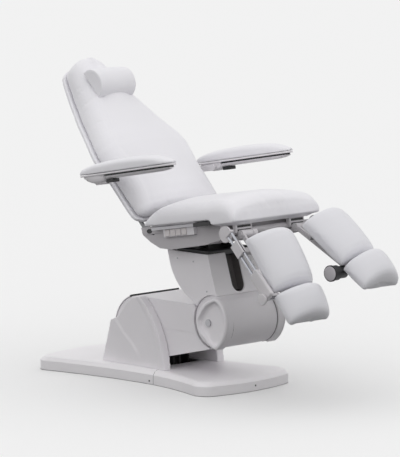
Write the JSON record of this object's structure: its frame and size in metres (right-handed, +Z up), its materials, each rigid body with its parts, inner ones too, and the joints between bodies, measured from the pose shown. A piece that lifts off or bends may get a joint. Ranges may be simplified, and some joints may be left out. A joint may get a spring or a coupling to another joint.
{
  "type": "podiatry chair",
  "caption": "Powered treatment chair on a lift arm and column, with a tapered reclining back, armrests and split leg supports.",
  "frame": {"origin": "on the floor, at the middle of the base plate's underside", "axes": "+X toward the foot end, +Y toward the sitter's left, +Z up"},
  "size_m": [1.6982, 0.7708, 1.3367],
  "materials": {
    "upholstery": "soft satin, padded",
    "white_shell": "painted, satin",
    "white_metal": "powder coated",
    "grey_metal": "powder coated",
    "chrome": "polished",
    "steel": "plain",
    "black_plastic": "matt",
    "black_rubber": "matt",
    "key_plastic": "satin",
    "board": "plain, hidden",
    "brass": "plain"
  },
  "bodies": {
    "base": {"base_plate": "grey_metal", "mains_inlet": "black_plastic", "rear_base_cover": "white_shell", "front_base_cover": "white_shell", "right_cheek": "white_shell", "left_cheek": "white_shell", "rear_upright_cover": "white_shell", "wiper_seal": "black_rubber", "pivot_brackets": "grey_metal", "base_shaft": "steel", "drive_bracket": "grey_metal"},
    "tie_rods": {"tie_rods": "grey_metal"},
    "lift_drive": {"lift_drive": "black_plastic"},
    "lift_rod": {"lift_rod": "steel"},
    "lift_arm": {"lift_arm_frame": "white_metal", "arm_bushes": "brass", "upper_arm_cover": "white_shell", "lower_arm_cover": "white_shell"},
    "column": {"column_frame": "grey_metal", "tilt_pin": "steel", "drum_cover": "white_shell", "drum_end_caps": "white_shell", "elbow_shaft": "steel", "column_cover": "white_shell", "column_front_cover": "white_shell", "slot_liner": "black_plastic", "column_screws": "steel"},
    "seat": {"seat_frame": "grey_metal", "seat_hull": "white_shell", "seat_board": "board", "seat_cushion": "upholstery", "control_box": "white_shell", "front_cross_tube": "white_metal"},
    "backrest": {"back_frame": "grey_metal", "armrest_brackets": "black_plastic", "back_shell": "upholstery", "back_cushion": "upholstery"},
    "head_pillow": {"head_pillow": "upholstery"},
    "control_key_1": {"control_key_1": "key_plastic"},
    "control_key_2": {"control_key_2": "key_plastic"},
    "control_key_3": {"control_key_3": "key_plastic"},
    "control_key_4": {"control_key_4": "key_plastic"},
    "right_armrest": {"right_armrest_shell": "white_shell", "right_armrest_pad": "upholstery"},
    "right_swivel": {"right_swivel_block": "white_metal"},
    "right_leg": {"right_leg_frame": "white_metal", "right_calf_pad": "upholstery"},
    "right_extension": {"right_foot_slide": "chrome"},
    "right_foot": {"right_foot_plate": "white_metal", "right_foot_pad": "upholstery"},
    "right_knob": {"right_foot_knob": "black_rubber"},
    "left_armrest": {"left_armrest_shell": "white_shell", "left_armrest_pad": "upholstery"},
    "left_swivel": {"left_swivel_block": "white_metal"},
    "left_leg": {"left_leg_frame": "white_metal", "left_calf_pad": "upholstery"},
    "left_extension": {"left_foot_slide": "chrome"},
    "left_foot": {"left_foot_plate": "white_metal", "left_foot_pad": "upholstery"},
    "left_knob": {"left_foot_knob": "black_rubber"}
  },
  "joints": [
    {"name": "lift", "type": "hinge", "parent": "base", "child": "lift_arm", "pos_m": [-0.01, 0, 0.212], "axis": [0, -1, 0], "range_deg": [-2, 18]},
    {"name": "column_level", "type": "hinge", "parent": "lift_arm", "child": "column", "pos_m": [0.44, 0, 0.295], "axis": [0, -1, 0], "range_deg": [-18, 2]},
    {"name": "tie_swing", "type": "hinge", "parent": "base", "child": "tie_rods", "pos_m": [0.005, 0, 0.15], "axis": [0, -1, 0], "range_deg": [-2, 18]},
    {"name": "drive_swing", "type": "hinge", "parent": "base", "child": "lift_drive", "pos_m": [0.06, 0, 0.1], "axis": [0, -1, 0], "range_deg": [-2.5, 18]},
    {"name": "drive_stroke", "type": "slide", "parent": "lift_drive", "child": "lift_rod", "axis": [0.8517, 0, 0.524], "range_m": [-0.006, 0.042]},
    {"name": "seat_tilt", "type": "hinge", "parent": "column", "child": "seat", "pos_m": [0.29658, 0, 0.62065], "axis": [0, -1, 0], "range_deg": [-10, 4]},
    {"name": "recline", "type": "hinge", "parent": "seat", "child": "backrest", "pos_m": [0.14211, 0, 0.65006], "axis": [0, -1, 0], "range_deg": [-10, 34]},
    {"name": "pillow_slide", "type": "slide", "parent": "backrest", "child": "head_pillow", "axis": [-0.7218, 0, 0.6921], "range_m": [-0.06, 0.06]},
    {"name": "right_armrest_fold", "type": "hinge", "parent": "backrest", "child": "right_armrest", "pos_m": [-0.004, -0.345, 0.876], "axis": [0, -1, 0], "range_deg": [-35, 80]},
    {"name": "left_armrest_fold", "type": "hinge", "parent": "backrest", "child": "left_armrest", "pos_m": [-0.004, 0.345, 0.876], "axis": [0, -1, 0], "range_deg": [-35, 80]},
    {"name": "key_1_rock", "type": "hinge", "parent": "seat", "child": "control_key_1", "pos_m": [0.24662, -0.2134, 0.6587], "axis": [0.9863, 0, 0.165], "range_deg": [-6, 6], "stiffness_Nm_per_rad": 0.6},
    {"name": "key_2_rock", "type": "hinge", "parent": "seat", "child": "control_key_2", "pos_m": [0.28015, -0.2134, 0.66431], "axis": [0.9863, 0, 0.165], "range_deg": [-6, 6], "stiffness_Nm_per_rad": 0.6},
    {"name": "key_3_rock", "type": "hinge", "parent": "seat", "child": "control_key_3", "pos_m": [0.31368, -0.2134, 0.66992], "axis": [0.9863, 0, 0.165], "range_deg": [-6, 6], "stiffness_Nm_per_rad": 0.6},
    {"name": "key_4_rock", "type": "hinge", "parent": "seat", "child": "control_key_4", "pos_m": [0.34722, -0.2134, 0.67553], "axis": [0.9863, 0, 0.165], "range_deg": [-6, 6], "stiffness_Nm_per_rad": 0.6},
    {"name": "right_leg_swing", "type": "hinge", "parent": "seat", "child": "right_swivel", "pos_m": [0.6147, -0.15591, 0.68409], "axis": [0.165, 0, -0.9863], "range_deg": [0, 15]},
    {"name": "right_leg_pitch", "type": "hinge", "parent": "right_swivel", "child": "right_leg", "pos_m": [0.662, -0.158, 0.692], "axis": [-0.043, -0.999, -0.0072], "range_deg": [-16, 44]},
    {"name": "right_leg_length", "type": "slide", "parent": "right_leg", "child": "right_extension", "axis": [0.7188, -0.0259, -0.6948], "range_m": [0, 0.08]},
    {"name": "right_foot_tilt", "type": "hinge", "parent": "right_extension", "child": "right_foot", "pos_m": [0.90279, -0.16669, 0.45926], "axis": [-0.043, -0.999, -0.0072], "range_deg": [-50, 0]},
    {"name": "right_knob_turn", "type": "hinge", "parent": "right_extension", "child": "right_knob", "pos_m": [0.90279, -0.16669, 0.45926], "axis": [-0.043, -0.999, -0.0072], "range_deg": [-90, 90]},
    {"name": "left_leg_swing", "type": "hinge", "parent": "seat", "child": "left_swivel", "pos_m": [0.6147, 0.15591, 0.68409], "axis": [-0.165, 0, 0.9863], "range_deg": [0, 15]},
    {"name": "left_leg_pitch", "type": "hinge", "parent": "left_swivel", "child": "left_leg", "pos_m": [0.662, 0.158, 0.692], "axis": [0.043, -0.999, 0.0072], "range_deg": [-32, 27]},
    {"name": "left_leg_length", "type": "slide", "parent": "left_leg", "child": "left_extension", "axis": [0.8863, 0.0348, -0.4619], "range_m": [0, 0.08]},
    {"name": "left_foot_tilt", "type": "hinge", "parent": "left_extension", "child": "left_foot", "pos_m": [0.9589, 0.16967, 0.53727], "axis": [0.043, -0.999, 0.0072], "range_deg": [-50, 0]},
    {"name": "left_knob_turn", "type": "hinge", "parent": "left_extension", "child": "left_knob", "pos_m": [0.9589, 0.16967, 0.53727], "axis": [0.043, -0.999, 0.0072], "range_deg": [-90, 90]}
  ],
  "couplings": [
    {"joint": "column_level", "follows": "lift", "ratio": -1},
    {"joint": "tie_swing", "follows": "lift", "ratio": 1},
    {"joint": "drive_swing", "follows": "lift", "ratio": 0.9568},
    {"joint": "drive_stroke", "follows": "lift", "m_per_rad": 0.13057}
  ]
}
